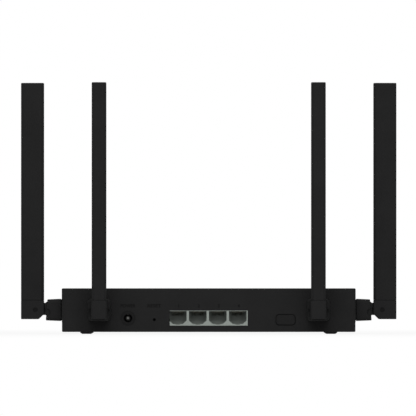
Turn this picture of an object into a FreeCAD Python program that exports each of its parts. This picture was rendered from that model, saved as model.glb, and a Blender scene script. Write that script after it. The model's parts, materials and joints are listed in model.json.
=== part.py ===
"""Desktop wireless router with four fold-and-swivel antennas.

Frame: X to the right when the connector face is looked at, Y from the connector face towards the
front, Z up.  The origin is under the middle of the whole object, on the surface it stands on.
Each antenna is built once in a frame of its own, where U runs straight out of the wall that
carries it, V runs along the hinge pin and Z is up, and is then placed four times.
"""
import FreeCAD, Part
import math
import os

V = FreeCAD.Vector
UP = V(0, 0, 1)
OUTWARD = V(1, 0, 0)

# ---- overall sizes (millimetres) ----
BODY_WIDTH = 205.4
BODY_DEPTH = 140.0
BODY_HEIGHT = 30.5
FOOT_HEIGHT = 1.4
ANTENNA_LENGTH = 165.3

# ---- housing ----
SIDE_WALL = 2.0
TOP_WALL = 2.4
FLOOR_WALL = 1.6
CORNER_RADIUS = 5.5
TOP_ROUND = 0.9
BOTTOM_ROUND = 0.8
BASE_WALL_HEIGHT = 7.0
SEAM_STEP = 0.15
SKIRT_DEPTH = 5.0
FIT_GAP = 0.1
LIP_THICKNESS = 1.0
LIP_BELOW = 2.5
LIP_ABOVE = 1.6

# ---- top panel ----
RIM_WIDTH = 9.0
LEDGE_WIDTH = 3.0
PANEL_THICKNESS = 1.6
PANEL_GAP = 0.25
PANEL_RADIUS = 5.0
PANEL_ROUND = 0.4
VENT_WIDTH = 1.8
VENT_LENGTH = 24.0
VENT_PITCH = 4.6
VENTS_PER_BANK = 11
VENT_BANK_X = 56.0
VENT_ROW_PITCH = 32.0
SNAP_WIDTH = 8.0
SNAP_THICKNESS = 1.2
SNAP_BARB = 0.5
SNAP_BARB_HEIGHT = 1.2

# ---- feet and screws ----
FOOT_FROM_SIDE = 17.2
FOOT_FROM_WALL = 18.0
FOOT_RADIUS = 4.35
FOOT_TIP_RADIUS = 3.3
FOOT_POCKET = 0.5
FOOT_STEP = 0.65
FOOT_TAPER = 0.2
SCREW_FROM_SIDE = 8.7
SCREW_FROM_END = 9.0
SCREW_RADIUS = 1.4
SCREW_LENGTH = 11.0
SCREW_HEAD_RADIUS = 2.8
SCREW_HEAD_HEIGHT = 1.4
SCREW_DRIVE_SPAN = 3.3
SCREW_DRIVE_WIDTH = 0.7
SCREW_DRIVE_DEPTH = 0.8
SCREW_CUP_RADIUS = 4.2
SCREW_CUP_HEIGHT = 4.8
SCREW_RECESS_RADIUS = 3.2
SCREW_RECESS_DEPTH = 3.0
BOSS_RADIUS = 3.4

# ---- wall-hanging keyholes ----
KEYHOLE_SPACING = 114.0
KEYHOLE_FROM_FRONT = 28.0
KEYHOLE_ENTRY_RADIUS = 4.0
KEYHOLE_SLOT_RADIUS = 2.1
KEYHOLE_SLIDE = 8.0
KEYHOLE_CUP_WALL = 1.0
KEYHOLE_CUP_HEIGHT = 3.4
KEYHOLE_CUP_GAP = 1.0

# ---- vents and label in the base ----
BASE_VENT_WIDTH = 2.0
BASE_VENT_LENGTH = 26.0
BASE_VENT_PITCH = 6.0
BASE_VENTS_PER_BANK = 8
BASE_VENT_X = 56.0
LABEL_WIDTH = 62.0
LABEL_DEPTH = 24.0
LABEL_THICKNESS = 0.15
LABEL_RECESS = 0.2

# ---- circuit board ----
BOARD_FROM_SIDE = 17.7
BOARD_FROM_KEYHOLE = 8.8
BOARD_THICKNESS = 1.6
BOARD_CORNER_RADIUS = 2.0
BOARD_STANDOFF = 0.8
STANDOFF_RADIUS = 3.0
BOARD_REAR_GAP = 0.2
BOARD_SCREW_INSET = 6.0
BOARD_SCREW_FROM_REAR = 30.0
BOARD_SCREW_RADIUS = 1.1
BOARD_SCREW_HEAD_RADIUS = 2.3
BOARD_SCREW_HEAD_HEIGHT = 1.4
BOARD_SCREW_BITE = 1.8
BOARD_HOLE_RADIUS = 1.5

# ---- ganged network sockets ----
PORT_COUNT = 4
PORT_PITCH = 13.97
PORT_ROW_X = -0.65
PORT_END_WALL = 1.1
PORT_BLOCK_TOP = 16.9
PORT_BLOCK_DEPTH = 21.0
PORT_NOSE_TRIM = 1.48
PORT_NOSE_BOTTOM = 5.85
PORT_NOSE_TOP = 16.3
PORT_NOSE_PROUD = 0.3
PORT_WINDOW_GAP = 0.12
PORT_MOUTH_WIDTH = 12.3
PORT_MOUTH_TOP = 16.0
PORT_CHAMFER_TOP = 9.4
PORT_LATCH_TOP = 6.95
PORT_LATCH_BOTTOM = 6.5
PORT_LATCH_WIDTH = 6.8
PORT_NOTCH_WIDTH = 3.0
PORT_PLUG_DEPTH = 15.5
PORT_WELL_WIDTH = 9.4
PORT_WELL_DEPTH = 17.0
CONTACTS_PER_PORT = 8
CONTACT_PITCH = 1.02
CONTACT_SIZE = 0.4
PEG_RADIUS = 1.6

# ---- power jack ----
JACK_FROM_RESET = 18.4
JACK_Z = 11.0
JACK_WIDTH = 9.0
JACK_TOP = 16.5
JACK_LENGTH = 14.0
JACK_FLANGE_RADIUS = 5.1
JACK_FLANGE_GAP = 0.12
JACK_FLANGE_RECESS = 0.15
JACK_BORE_RADIUS = 2.85
JACK_BORE_DEPTH = 9.5
JACK_PIN_RADIUS = 1.0
JACK_PIN_RECESS = 1.0
JACK_PIN_NOSE = 0.45
JACK_PIN_ROOT = 2.0
JACK_PIN_ROOT_RADIUS = 1.5
JACK_LEAF_WIDTH = 1.8
JACK_LEAF_THICKNESS = 0.5
JACK_LEAF_PROUD = 0.25

# ---- reset switch ----
RESET_FROM_PORTS = 8.31
RESET_Z = 10.0
RESET_HOLE_RADIUS = 1.0
RESET_PLUNGER_RADIUS = 1.5
RESET_PLUNGER_FROM_FACE = 4.5
RESET_BODY_FROM_FACE = 6.6

# ---- pairing button and its switch ----
BUTTON_FROM_PORTS = 25.31
BUTTON_Z = 9.9
BUTTON_WIDTH = 13.1
BUTTON_HEIGHT = 7.0
BUTTON_RADIUS = 2.1
BUTTON_GAP = 0.45
BUTTON_PROUD = 0.3
BUTTON_TRAVEL = 0.5
BUTTON_FLANGE_SIDE = 1.35
BUTTON_FLANGE_TOP = 0.7
BUTTON_FLANGE_THICKNESS = 1.2
BUTTON_FLANGE_GAP = 0.05
BUTTON_STEM_RADIUS = 1.6
BUTTON_STEM_LENGTH = 3.2
BUTTON_ROUND = 0.3

# ---- small side-pressed switches on the board ----
SWITCH_WIDTH = 6.6
SWITCH_DEPTH = 5.0
SWITCH_ABOVE_AXIS = 3.2
SWITCH_BORE_GAP = 0.1
SWITCH_BORE_DEPTH = 2.4
PLUNGER_IN_BORE = 1.2
PLUNGER_RADIUS = 1.5
TOUCH_GAP = 0.02

# ---- antenna hinge and swivel ----
AXIS_Z = 16.8
SIDE_ANTENNA_FROM_REAR = 22.0
REAR_ANTENNA_FROM_SIDE = 26.2
STUB_LENGTH = 10.7
STUB_WALL_GAP = 0.15
STUB_ROOT_WIDTH = 17.0
STUB_ROOT_HEIGHT = 15.6
STUB_END_WIDTH = 14.4
STUB_END_HEIGHT = 14.75
STUB_CORNER_RADIUS = 2.6
STUB_ROUND = 0.9
STUB_END_ROUND = 0.6
STUB_END_TILT = 4.3
SCOOP_RADIUS = 2.7
SCOOP_BELOW_AXIS = 1.7
SCOOP_DEPTH = 1.2
SHAFT_RADIUS = 4.5
SHAFT_RUNNING_GAP = 0.05
SHAFT_INSIDE = 5.5
COAX_BORE_RADIUS = 1.5
COAX_BORE_END = 7.0
CLIP_THICKNESS = 1.0
CLIP_GROOVE_RADIUS = 3.7
CLIP_OUTER_RADIUS = 6.3
CLIP_MOUTH = 5.0
PIN_FROM_WALL = 18.65
HINGE_PIN_RADIUS = 1.5
PIN_HOLE_RADIUS = 1.75
PIN_HOLE_DEPTH = 0.6
PIN_RUNNING_GAP = 0.05
TONGUE_THICKNESS = 4.6
TONGUE_BELOW = 3.6
TONGUE_ABOVE = 5.0
TONGUE_END_RADIUS = 3.6
NECK_WIDTH = 9.6
NECK_FLARE = 0.7
NECK_GAP = 0.2
HEAD_SLOT_GAP = 0.2
HEAD_SLOT_TIP_GAP = 0.5
HEAD_THICKNESS = 10.6
HEAD_BOTTOM_DROP = 6.5
HEAD_TOP_RISE = 6.7
HEAD_CHAMFER = 3.7
HEAD_OUTER_ROUND = 1.5
HEAD_EDGE = 0.4

# ---- antenna blade ----
BLADE_WIDTH = 16.1
BLADE_THICKNESS = 10.2
BLADE_INNER_FROM_PIN = 6.15
BLADE_BEVEL = 1.8
BLADE_TIP_ROUND = 0.7
BLADE_WALL = 1.3
BLADE_SEAM = 0.3
SPIGOT_HEIGHT = 6.0
SPIGOT_GAP = 0.05
ELEMENT_WIDTH = 8.0
ELEMENT_THICKNESS = 0.8
ELEMENT_SEAT = 4.0
ELEMENT_TOP_CLEARANCE = 24.0

# ---- coaxial leads ----
COAX_RADIUS = 0.9
COAX_IN_STUB = 5.0
COAX_STRAIGHT = 12.0
COAX_BEND = 8.4
PLUG_RADIUS = 1.6
PLUG_HEIGHT = 1.9

# ---- lights ----
LIGHT_COUNT = 5
LIGHT_PITCH = 9.0
LIGHT_FROM_BOARD_FRONT = 5.0
LIGHT_WIDTH = 3.6
LIGHT_DEPTH = 1.3
LIGHT_WINDOW_GAP = 0.1
LIGHT_BAR_HEIGHT = 2.0
LED_WIDTH = 1.6
LED_DEPTH = 0.9
LED_HEIGHT = 0.7
LED_GAP = 0.3

# ---- levels and walls worked out from the sizes above ----
HALF_WIDTH = BODY_WIDTH/2
ANTENNA_REACH = PIN_FROM_WALL - BLADE_INNER_FROM_PIN + BLADE_WIDTH
REAR_Y = (ANTENNA_REACH - BODY_DEPTH)/2
FRONT_Y = REAR_Y + BODY_DEPTH
INNER_REAR_Y = REAR_Y + SIDE_WALL
BASE_Z = FOOT_HEIGHT
FLOOR_Z = BASE_Z + FLOOR_WALL
SEAM_Z = BASE_Z + BASE_WALL_HEIGHT
TOP_Z = BASE_Z + BODY_HEIGHT
CEILING_Z = TOP_Z - TOP_WALL
LEDGE_Z = TOP_Z - PANEL_THICKNESS
BOARD_BOTTOM = FLOOR_Z + BOARD_STANDOFF
BOARD_TOP = BOARD_BOTTOM + BOARD_THICKNESS
BOARD_REAR = INNER_REAR_Y + BOARD_REAR_GAP
KEYHOLE_Y = FRONT_Y - KEYHOLE_FROM_FRONT
KEYHOLE_CUP_HALF = KEYHOLE_ENTRY_RADIUS + KEYHOLE_CUP_GAP
BOARD_FRONT = KEYHOLE_Y - KEYHOLE_CUP_HALF - KEYHOLE_CUP_WALL - BOARD_FROM_KEYHOLE
BOARD_HALF_WIDTH = HALF_WIDTH - BOARD_FROM_SIDE
HEAD_TOP_Z = AXIS_Z + HEAD_TOP_RISE
BLADE_TOP_Z = AXIS_Z - HEAD_BOTTOM_DROP + ANTENNA_LENGTH
BLADE_INNER_U = PIN_FROM_WALL - BLADE_INNER_FROM_PIN
BLADE_MIDDLE_U = BLADE_INNER_U + BLADE_WIDTH/2
LIGHT_Y = BOARD_FRONT - LIGHT_FROM_BOARD_FRONT
REAR_ANTENNA_X = HALF_WIDTH - REAR_ANTENNA_FROM_SIDE
PORT_NOSE_WIDTH = PORT_COUNT*PORT_PITCH - PORT_NOSE_TRIM
PORT_BLOCK_HALF = PORT_COUNT*PORT_PITCH/2 + PORT_END_WALL
RESET_X = PORT_ROW_X - PORT_BLOCK_HALF - RESET_FROM_PORTS
JACK_X = RESET_X - JACK_FROM_RESET
BUTTON_X = PORT_ROW_X + PORT_BLOCK_HALF + BUTTON_FROM_PORTS


# ---- small building blocks ----
def box(x0, x1, y0, y1, z0, z1):
    return Part.makeBox(x1 - x0, y1 - y0, z1 - z0, V(x0, y0, z0))


def centred_box(x, y, width, depth, z0, z1):
    return box(x - width/2, x + width/2, y - depth/2, y + depth/2, z0, z1)


def rounded_outline(width, height, radius):
    """Closed outline in the XY plane with four round corners, centred on the origin."""
    arcs = []
    for turn, (side, level) in enumerate(((1, 1), (-1, 1), (-1, -1), (1, -1))):
        centre = V(side*(width/2 - radius), level*(height/2 - radius), 0)
        arcs.append(Part.makeCircle(radius, centre, UP, 90*turn, 90*turn + 90))
    edges = []
    for arc, following in zip(arcs, arcs[1:] + arcs[:1]):
        edges.append(arc)
        edges.append(Part.makeLine(arc.lastVertex().Point, following.firstVertex().Point))
    return Part.Wire(edges)


def rounded_box(x0, x1, y0, y1, z0, z1, radius):
    """Box whose four upright edges are round."""
    outline = rounded_outline(x1 - x0, y1 - y0, radius)
    outline.translate(V((x0 + x1)/2, (y0 + y1)/2, z0))
    return Part.Face(outline).extrude(V(0, 0, z1 - z0))


def rear_block(x, z, width, height, radius, y0, y1):
    """Round-cornered bar along Y, centred on (x, z)."""
    outline = rounded_outline(width, height, radius)
    outline.Placement = FreeCAD.Placement(V(x, y0, z), FreeCAD.Rotation(OUTWARD, 90))
    return Part.Face(outline).extrude(V(0, y1 - y0, 0))


def rod(radius, start, end):
    direction = end - start
    return Part.makeCylinder(radius, direction.Length, start, direction)


def upright(radius, x, y, z0, z1):
    return rod(radius, V(x, y, z0), V(x, y, z1))


def plate(points, thickness_vector):
    """Flat polygon through the given points, pushed along one vector."""
    outline = Part.makePolygon(points + points[:1])
    return Part.Face(outline).extrude(thickness_vector)


def joined(pieces):
    return pieces[0].multiFuse(pieces[1:]).removeSplitter()


def edges_where(shape, test):
    return [edge for edge in shape.Edges if test(edge)]


def lies_at_z(level):
    def test(edge):
        limits = edge.BoundBox
        return abs(limits.ZMin - level) < 1e-4 and abs(limits.ZMax - level) < 1e-4
    return test


def lies_on_plane(point, normal):
    def test(edge):
        middle = edge.valueAt((edge.FirstParameter + edge.LastParameter)/2)
        spots = [vertex.Point for vertex in edge.Vertexes] + [middle]
        return all(abs((spot - point).dot(normal)) < 1e-4 for spot in spots)
    return test


def is_upright_at_x(x):
    def test(edge):
        limits = edge.BoundBox
        return limits.XLength < 1e-4 and limits.YLength < 1e-4 and abs(limits.XMin - x) < 1e-4
    return test


def slot(x, y, width, length, z0, z1):
    """Cutter for a slot with round ends, its long way along Y."""
    return rounded_box(x - width/2, x + width/2, y - length/2, y + length/2, z0, z1, width/2 - 0.01)


def spread(count, pitch):
    """Centred row of positions."""
    return [pitch*(index - (count - 1)/2) for index in range(count)]


parts = {}


def keep(name, *shapes):
    """Record one node: a single solid, or a group of separate solids."""
    parts[name] = shapes[0] if len(shapes) == 1 else Part.makeCompound(list(shapes))


# ---- places shared by several pieces ----
def screw_places():
    for x in (-HALF_WIDTH + SCREW_FROM_SIDE, HALF_WIDTH - SCREW_FROM_SIDE):
        for y in (REAR_Y + SCREW_FROM_END, FRONT_Y - SCREW_FROM_END):
            yield x, y


def foot_places():
    for x in (-HALF_WIDTH + FOOT_FROM_SIDE, HALF_WIDTH - FOOT_FROM_SIDE):
        for y in (REAR_Y + FOOT_FROM_WALL, FRONT_Y - FOOT_FROM_WALL):
            yield x, y


def board_screw_places():
    for x in (-BOARD_HALF_WIDTH + BOARD_SCREW_INSET, BOARD_HALF_WIDTH - BOARD_SCREW_INSET):
        for y in (BOARD_REAR + BOARD_SCREW_FROM_REAR, BOARD_FRONT - BOARD_SCREW_INSET):
            yield x, y


def keyhole_places():
    for x in (-KEYHOLE_SPACING/2, KEYHOLE_SPACING/2):
        yield x, KEYHOLE_Y


def port_centres():
    return [PORT_ROW_X + offset for offset in spread(PORT_COUNT, PORT_PITCH)]


def light_centres():
    return spread(LIGHT_COUNT, LIGHT_PITCH)


def antenna_places():
    """Name, point on the wall and turn about Z for each antenna."""
    side_y = REAR_Y + SIDE_ANTENNA_FROM_REAR
    return (
        ("left_outer", V(-HALF_WIDTH, side_y, 0), 180),
        ("left_rear", V(-REAR_ANTENNA_X, REAR_Y, 0), -90),
        ("right_rear", V(REAR_ANTENNA_X, REAR_Y, 0), -90),
        ("right_outer", V(HALF_WIDTH, side_y, 0), 0),
    )


def placed(shape, wall_point, turn):
    moved = shape.copy()
    moved.rotate(V(0, 0, 0), UP, turn)
    moved.translate(wall_point)
    return moved


# ---- housing ----
def shell_above_seam():
    outer = rounded_box(-HALF_WIDTH, HALF_WIDTH, REAR_Y, FRONT_Y, SEAM_Z, TOP_Z, CORNER_RADIUS)
    return outer.makeFillet(TOP_ROUND, edges_where(outer, lies_at_z(TOP_Z)))


def shell_below_seam():
    step = SEAM_STEP
    outer = rounded_box(-HALF_WIDTH + step, HALF_WIDTH - step, REAR_Y, FRONT_Y - step,
                        BASE_Z, SEAM_Z, CORNER_RADIUS - step)
    return outer.makeFillet(BOTTOM_ROUND, edges_where(outer, lies_at_z(BASE_Z)))


def room(inset, z0, z1):
    """Inner space of the housing, a given distance in from its outer walls."""
    return rounded_box(-HALF_WIDTH + inset, HALF_WIDTH - inset, REAR_Y + inset, FRONT_Y - inset,
                       z0, z1, max(CORNER_RADIUS - inset, 0.8))


def rear_skirt_zone(gap):
    """Space taken by the rear wall where it reaches down past the seam."""
    past = 1.0
    outside = box(-HALF_WIDTH - past, HALF_WIDTH + past, REAR_Y - past, REAR_Y + SKIRT_DEPTH + gap,
                  BASE_Z - past, SEAM_Z)
    inside = box(-HALF_WIDTH + SIDE_WALL + SEAM_STEP + gap, HALF_WIDTH - SIDE_WALL - SEAM_STEP - gap,
                 INNER_REAR_Y + gap, REAR_Y + SKIRT_DEPTH + 2*gap + past, BASE_Z - past, SEAM_Z)
    return outside.cut(inside)


def antenna_shaft_holes():
    past = 1.0
    bore = rod(SHAFT_RADIUS + SHAFT_RUNNING_GAP, V(-SIDE_WALL - past, 0, AXIS_Z), V(past, 0, AXIS_Z))
    return [placed(bore, point, turn) for _, point, turn in antenna_places()]


def port_window():
    return box(-PORT_NOSE_WIDTH/2 - PORT_WINDOW_GAP, PORT_NOSE_WIDTH/2 + PORT_WINDOW_GAP,
               REAR_Y - 1, INNER_REAR_Y + 1,
               PORT_NOSE_BOTTOM - PORT_WINDOW_GAP, PORT_NOSE_TOP + PORT_WINDOW_GAP)


def rear_openings():
    past = 1.0
    y0 = REAR_Y - past
    y1 = INNER_REAR_Y + past
    jack = rod(JACK_FLANGE_RADIUS + JACK_FLANGE_GAP, V(JACK_X, y0, JACK_Z), V(JACK_X, y1, JACK_Z))
    reset = rod(RESET_HOLE_RADIUS, V(RESET_X, y0, RESET_Z), V(RESET_X, y1, RESET_Z))
    button = rear_block(BUTTON_X, BUTTON_Z, BUTTON_WIDTH + 2*BUTTON_GAP, BUTTON_HEIGHT + 2*BUTTON_GAP,
                        BUTTON_RADIUS + BUTTON_GAP, y0, y1)
    return [port_window(), jack, reset, button]


def panel_outline_box(inset, z0, z1):
    return rounded_box(-HALF_WIDTH + inset, HALF_WIDTH - inset, REAR_Y + inset, FRONT_Y - inset,
                       z0, z1, PANEL_RADIUS)


def upper_housing():
    skirt = shell_below_seam().common(rear_skirt_zone(0))
    skirt = skirt.cut(box(-HALF_WIDTH + SIDE_WALL + SEAM_STEP, HALF_WIDTH - SIDE_WALL - SEAM_STEP,
                          INNER_REAR_Y, FRONT_Y, BASE_Z, SEAM_Z))
    shell = shell_above_seam().cut(room(SIDE_WALL, SEAM_Z - 1, CEILING_Z))
    pieces = [shell, skirt]
    for x, y in screw_places():
        pieces.append(upright(BOSS_RADIUS, x, y, BASE_Z + SCREW_CUP_HEIGHT, CEILING_Z))
    housing = joined(pieces)
    pilot_top = BASE_Z + SCREW_RECESS_DEPTH + SCREW_LENGTH
    cutters = [panel_outline_box(RIM_WIDTH, LEDGE_Z, TOP_Z + 1)]
    cutters.append(panel_outline_box(RIM_WIDTH + LEDGE_WIDTH, CEILING_Z - 1, TOP_Z))
    for x, y in screw_places():
        cutters.append(upright(SCREW_RADIUS, x, y, BASE_Z, pilot_top + 1))
    return housing.cut(cutters + antenna_shaft_holes() + rear_openings())


def snap_leg():
    """Snap leg of the panel, hooking under the ledge on its +X side, centred on Y."""
    barb_top = CEILING_Z - FIT_GAP
    profile = [
        V(-SNAP_THICKNESS, -SNAP_WIDTH/2, LEDGE_Z),
        V(0, -SNAP_WIDTH/2, LEDGE_Z),
        V(0, -SNAP_WIDTH/2, barb_top),
        V(SNAP_BARB, -SNAP_WIDTH/2, barb_top),
        V(0, -SNAP_WIDTH/2, barb_top - SNAP_BARB_HEIGHT),
        V(-SNAP_THICKNESS, -SNAP_WIDTH/2, barb_top - SNAP_BARB_HEIGHT),
    ]
    return plate(profile, V(0, SNAP_WIDTH, 0))


def snap_places():
    """Point and turn of each snap leg around the panel's opening."""
    reach = RIM_WIDTH + LEDGE_WIDTH + PANEL_GAP
    middle_y = (REAR_Y + FRONT_Y)/2
    for offset in spread(2, BODY_DEPTH/2):
        yield V(HALF_WIDTH - reach, middle_y + offset, 0), 0
        yield V(-HALF_WIDTH + reach, middle_y + offset, 0), 180
    for offset in spread(3, BODY_WIDTH/4):
        yield V(offset, FRONT_Y - reach, 0), 90
        yield V(offset, REAR_Y + reach, 0), -90


def vent_places():
    rear_row_y = (REAR_Y + FRONT_Y)/2 - VENT_ROW_PITCH/2
    for bank_x in (-VENT_BANK_X, VENT_BANK_X):
        for x in spread(VENTS_PER_BANK, VENT_PITCH):
            for row in range(2):
                yield bank_x + x, rear_row_y + row*VENT_ROW_PITCH


def top_panel():
    inset = RIM_WIDTH + PANEL_GAP
    panel = panel_outline_box(inset, LEDGE_Z, TOP_Z)
    panel = panel.makeFillet(PANEL_ROUND, edges_where(panel, lies_at_z(TOP_Z)))
    legs = [placed(snap_leg(), point, turn) for point, turn in snap_places()]
    panel = joined([panel] + legs)
    cutters = [slot(x, y, VENT_WIDTH, VENT_LENGTH, LEDGE_Z - 1, TOP_Z + 1) for x, y in vent_places()]
    for x in light_centres():
        cutters.append(centred_box(x, LIGHT_Y, LIGHT_WIDTH + 2*LIGHT_WINDOW_GAP,
                                   LIGHT_DEPTH + 2*LIGHT_WINDOW_GAP, LEDGE_Z - 1, TOP_Z + 1))
    return panel.cut(cutters)


def keyhole_cutter(x, y, z0, z1):
    entry = upright(KEYHOLE_ENTRY_RADIUS, x, y, z0, z1)
    narrow = upright(KEYHOLE_SLOT_RADIUS, x, y + KEYHOLE_SLIDE, z0, z1)
    channel = centred_box(x, y + KEYHOLE_SLIDE/2, 2*KEYHOLE_SLOT_RADIUS, KEYHOLE_SLIDE, z0, z1)
    return joined([entry, narrow, channel])


def keyhole_cup(x, y, grow, z0, z1):
    half = KEYHOLE_CUP_HALF + grow
    return box(x - half, x + half, y - half, y + KEYHOLE_SLIDE + half, z0, z1)


def base_vent_places():
    middle_y = BOARD_FRONT - BASE_VENT_LENGTH
    for bank_x in (-BASE_VENT_X, BASE_VENT_X):
        for x in spread(BASE_VENTS_PER_BANK, BASE_VENT_PITCH):
            yield bank_x + x, middle_y


def label_place():
    return 0, (REAR_Y + FRONT_Y)/2 + LABEL_DEPTH


def base_cover():
    inner = SIDE_WALL + SEAM_STEP
    tray = shell_below_seam().cut(room(inner, FLOOR_Z, SEAM_Z + 1))
    lip = room(SIDE_WALL + FIT_GAP, SEAM_Z - LIP_BELOW, SEAM_Z + LIP_ABOVE)
    lip = lip.cut(room(SIDE_WALL + FIT_GAP + LIP_THICKNESS, SEAM_Z - LIP_BELOW, SEAM_Z + LIP_ABOVE))
    lip = lip.cut(box(-HALF_WIDTH, HALF_WIDTH, REAR_Y, REAR_Y + SKIRT_DEPTH + SIDE_WALL,
                      BASE_Z, TOP_Z))
    pieces = [tray.cut(rear_skirt_zone(FIT_GAP)), lip]
    cutters = [box(-HALF_WIDTH + inner, HALF_WIDTH - inner, REAR_Y, REAR_Y + SKIRT_DEPTH,
                   FLOOR_Z, SEAM_Z)]
    for x, y in screw_places():
        pieces.append(upright(SCREW_CUP_RADIUS, x, y, BASE_Z, BASE_Z + SCREW_CUP_HEIGHT))
        cutters.append(upright(SCREW_RECESS_RADIUS, x, y, BASE_Z - 1, BASE_Z + SCREW_RECESS_DEPTH))
        cutters.append(upright(SCREW_RADIUS, x, y, BASE_Z, FLOOR_Z + SCREW_LENGTH))
    for x, y in board_screw_places():
        pieces.append(upright(STANDOFF_RADIUS, x, y, BASE_Z, BOARD_BOTTOM))
        cutters.append(upright(BOARD_SCREW_RADIUS, x, y, BOARD_BOTTOM - BOARD_SCREW_BITE, TOP_Z))
    for x, y in keyhole_places():
        cup_top = FLOOR_Z + KEYHOLE_CUP_HEIGHT
        pieces.append(keyhole_cup(x, y, KEYHOLE_CUP_WALL, BASE_Z, cup_top + KEYHOLE_CUP_WALL))
        cutters.append(keyhole_cup(x, y, 0, FLOOR_Z, cup_top))
        cutters.append(keyhole_cutter(x, y, BASE_Z - 1, FLOOR_Z + 1))
    for x, y in foot_places():
        cutters.append(upright(FOOT_RADIUS, x, y, BASE_Z - 1, BASE_Z + FOOT_POCKET))
    for x, y in base_vent_places():
        cutters.append(slot(x, y, BASE_VENT_WIDTH, BASE_VENT_LENGTH, BASE_Z - 1, FLOOR_Z + 1))
    x, y = label_place()
    cutters.append(centred_box(x, y, LABEL_WIDTH, LABEL_DEPTH, BASE_Z - 1, BASE_Z + LABEL_RECESS))
    return joined(pieces).cut(cutters)


def rating_label():
    x, y = label_place()
    top = BASE_Z + LABEL_RECESS
    return centred_box(x, y, LABEL_WIDTH, LABEL_DEPTH, top - LABEL_THICKNESS, top)


def rubber_foot(x, y):
    profile = [
        V(0, 0, 0),
        V(FOOT_TIP_RADIUS, 0, 0),
        V(FOOT_TIP_RADIUS + FOOT_TAPER, 0, FOOT_STEP - FOOT_TAPER),
        V(FOOT_RADIUS, 0, FOOT_STEP),
        V(FOOT_RADIUS, 0, BASE_Z + FOOT_POCKET),
        V(0, 0, BASE_Z + FOOT_POCKET),
    ]
    half = Part.Face(Part.makePolygon(profile + profile[:1]))
    foot = half.revolve(V(0, 0, 0), UP, 360)
    foot.translate(V(x, y, 0))
    return foot


def housing_screw(x, y):
    head_top = BASE_Z + SCREW_RECESS_DEPTH
    head = upright(SCREW_HEAD_RADIUS, x, y, head_top - SCREW_HEAD_HEIGHT, head_top)
    shank = upright(SCREW_RADIUS, x, y, head_top, head_top + SCREW_LENGTH)
    drive_low = head_top - SCREW_HEAD_HEIGHT
    drive_high = drive_low + SCREW_DRIVE_DEPTH
    cross = [centred_box(x, y, SCREW_DRIVE_SPAN, SCREW_DRIVE_WIDTH, drive_low - 1, drive_high)]
    cross.append(centred_box(x, y, SCREW_DRIVE_WIDTH, SCREW_DRIVE_SPAN, drive_low - 1, drive_high))
    return joined([head, shank]).cut(cross)


# ---- circuit board and what sits on it ----
def board_screw(x, y):
    head = upright(BOARD_SCREW_HEAD_RADIUS, x, y, BOARD_TOP, BOARD_TOP + BOARD_SCREW_HEAD_HEIGHT)
    shank = upright(BOARD_SCREW_RADIUS, x, y, BOARD_BOTTOM - BOARD_SCREW_BITE, BOARD_TOP)
    return joined([head, shank])


def port_pegs():
    """Plastic pegs that locate the socket block in the board."""
    y = INNER_REAR_Y + PORT_BLOCK_DEPTH/2
    for x in (PORT_ROW_X - PORT_PITCH, PORT_ROW_X + PORT_PITCH):
        yield upright(PEG_RADIUS, x, y, BOARD_BOTTOM, BOARD_TOP)


def circuit_board():
    board = rounded_box(-BOARD_HALF_WIDTH, BOARD_HALF_WIDTH, BOARD_REAR, BOARD_FRONT,
                        BOARD_BOTTOM, BOARD_TOP, BOARD_CORNER_RADIUS)
    cutters = [upright(BOARD_HOLE_RADIUS, x, y, BASE_Z, TOP_Z) for x, y in board_screw_places()]
    return board.cut(cutters + list(port_pegs()))


def port_cavity(x):
    """Hollow of one network socket: plug room with its latch notch, then the contact well."""
    half = PORT_MOUTH_WIDTH/2
    latch = PORT_LATCH_WIDTH/2
    mouth_y = REAR_Y - PORT_NOSE_PROUD
    start = mouth_y - 1
    section = [
        V(x - half, start, PORT_MOUTH_TOP),
        V(x + half, start, PORT_MOUTH_TOP),
        V(x + half, start, PORT_CHAMFER_TOP),
        V(x + latch, start, PORT_LATCH_TOP),
        V(x - latch, start, PORT_LATCH_TOP),
        V(x - half, start, PORT_CHAMFER_TOP),
    ]
    plug_room = plate(section, V(0, PORT_PLUG_DEPTH + 1, 0))
    notch = box(x - PORT_NOTCH_WIDTH/2, x + PORT_NOTCH_WIDTH/2, start, mouth_y + PORT_PLUG_DEPTH,
                PORT_LATCH_BOTTOM, PORT_LATCH_TOP + 0.5)
    well = box(x - PORT_WELL_WIDTH/2, x + PORT_WELL_WIDTH/2, start, mouth_y + PORT_WELL_DEPTH,
               PORT_CHAMFER_TOP, PORT_MOUTH_TOP)
    return joined([plug_room, notch, well])


def port_contacts(x):
    """Spring wires of one socket: each runs back from the mouth and slopes down into the well."""
    wires = []
    front_y = REAR_Y + 3.2
    rear_y = REAR_Y + PORT_WELL_DEPTH - PORT_NOSE_PROUD
    high_z = PORT_MOUTH_TOP - 0.35
    low_z = PORT_MOUTH_TOP - 3.4
    for offset in spread(CONTACTS_PER_PORT, CONTACT_PITCH):
        left = x + offset - CONTACT_SIZE/2
        path = [
            V(left, front_y, high_z),
            V(left, rear_y, low_z + 0.6),
            V(left, rear_y, low_z + 0.6 - CONTACT_SIZE),
            V(left, front_y + 1.2, high_z - CONTACT_SIZE - 0.3),
            V(left, front_y, high_z - CONTACT_SIZE),
        ]
        wires.append(plate(path, V(CONTACT_SIZE, 0, 0)))
    return wires


def ethernet_port_block():
    front = INNER_REAR_Y + FIT_GAP
    body = box(PORT_ROW_X - PORT_BLOCK_HALF, PORT_ROW_X + PORT_BLOCK_HALF,
               front, INNER_REAR_Y + PORT_BLOCK_DEPTH, BOARD_TOP, PORT_BLOCK_TOP)
    nose = box(-PORT_NOSE_WIDTH/2, PORT_NOSE_WIDTH/2, REAR_Y - PORT_NOSE_PROUD, front + 1,
               PORT_NOSE_BOTTOM, PORT_NOSE_TOP)
    block = joined([body, nose] + list(port_pegs()))
    return block.cut([port_cavity(x) for x in port_centres()])


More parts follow.
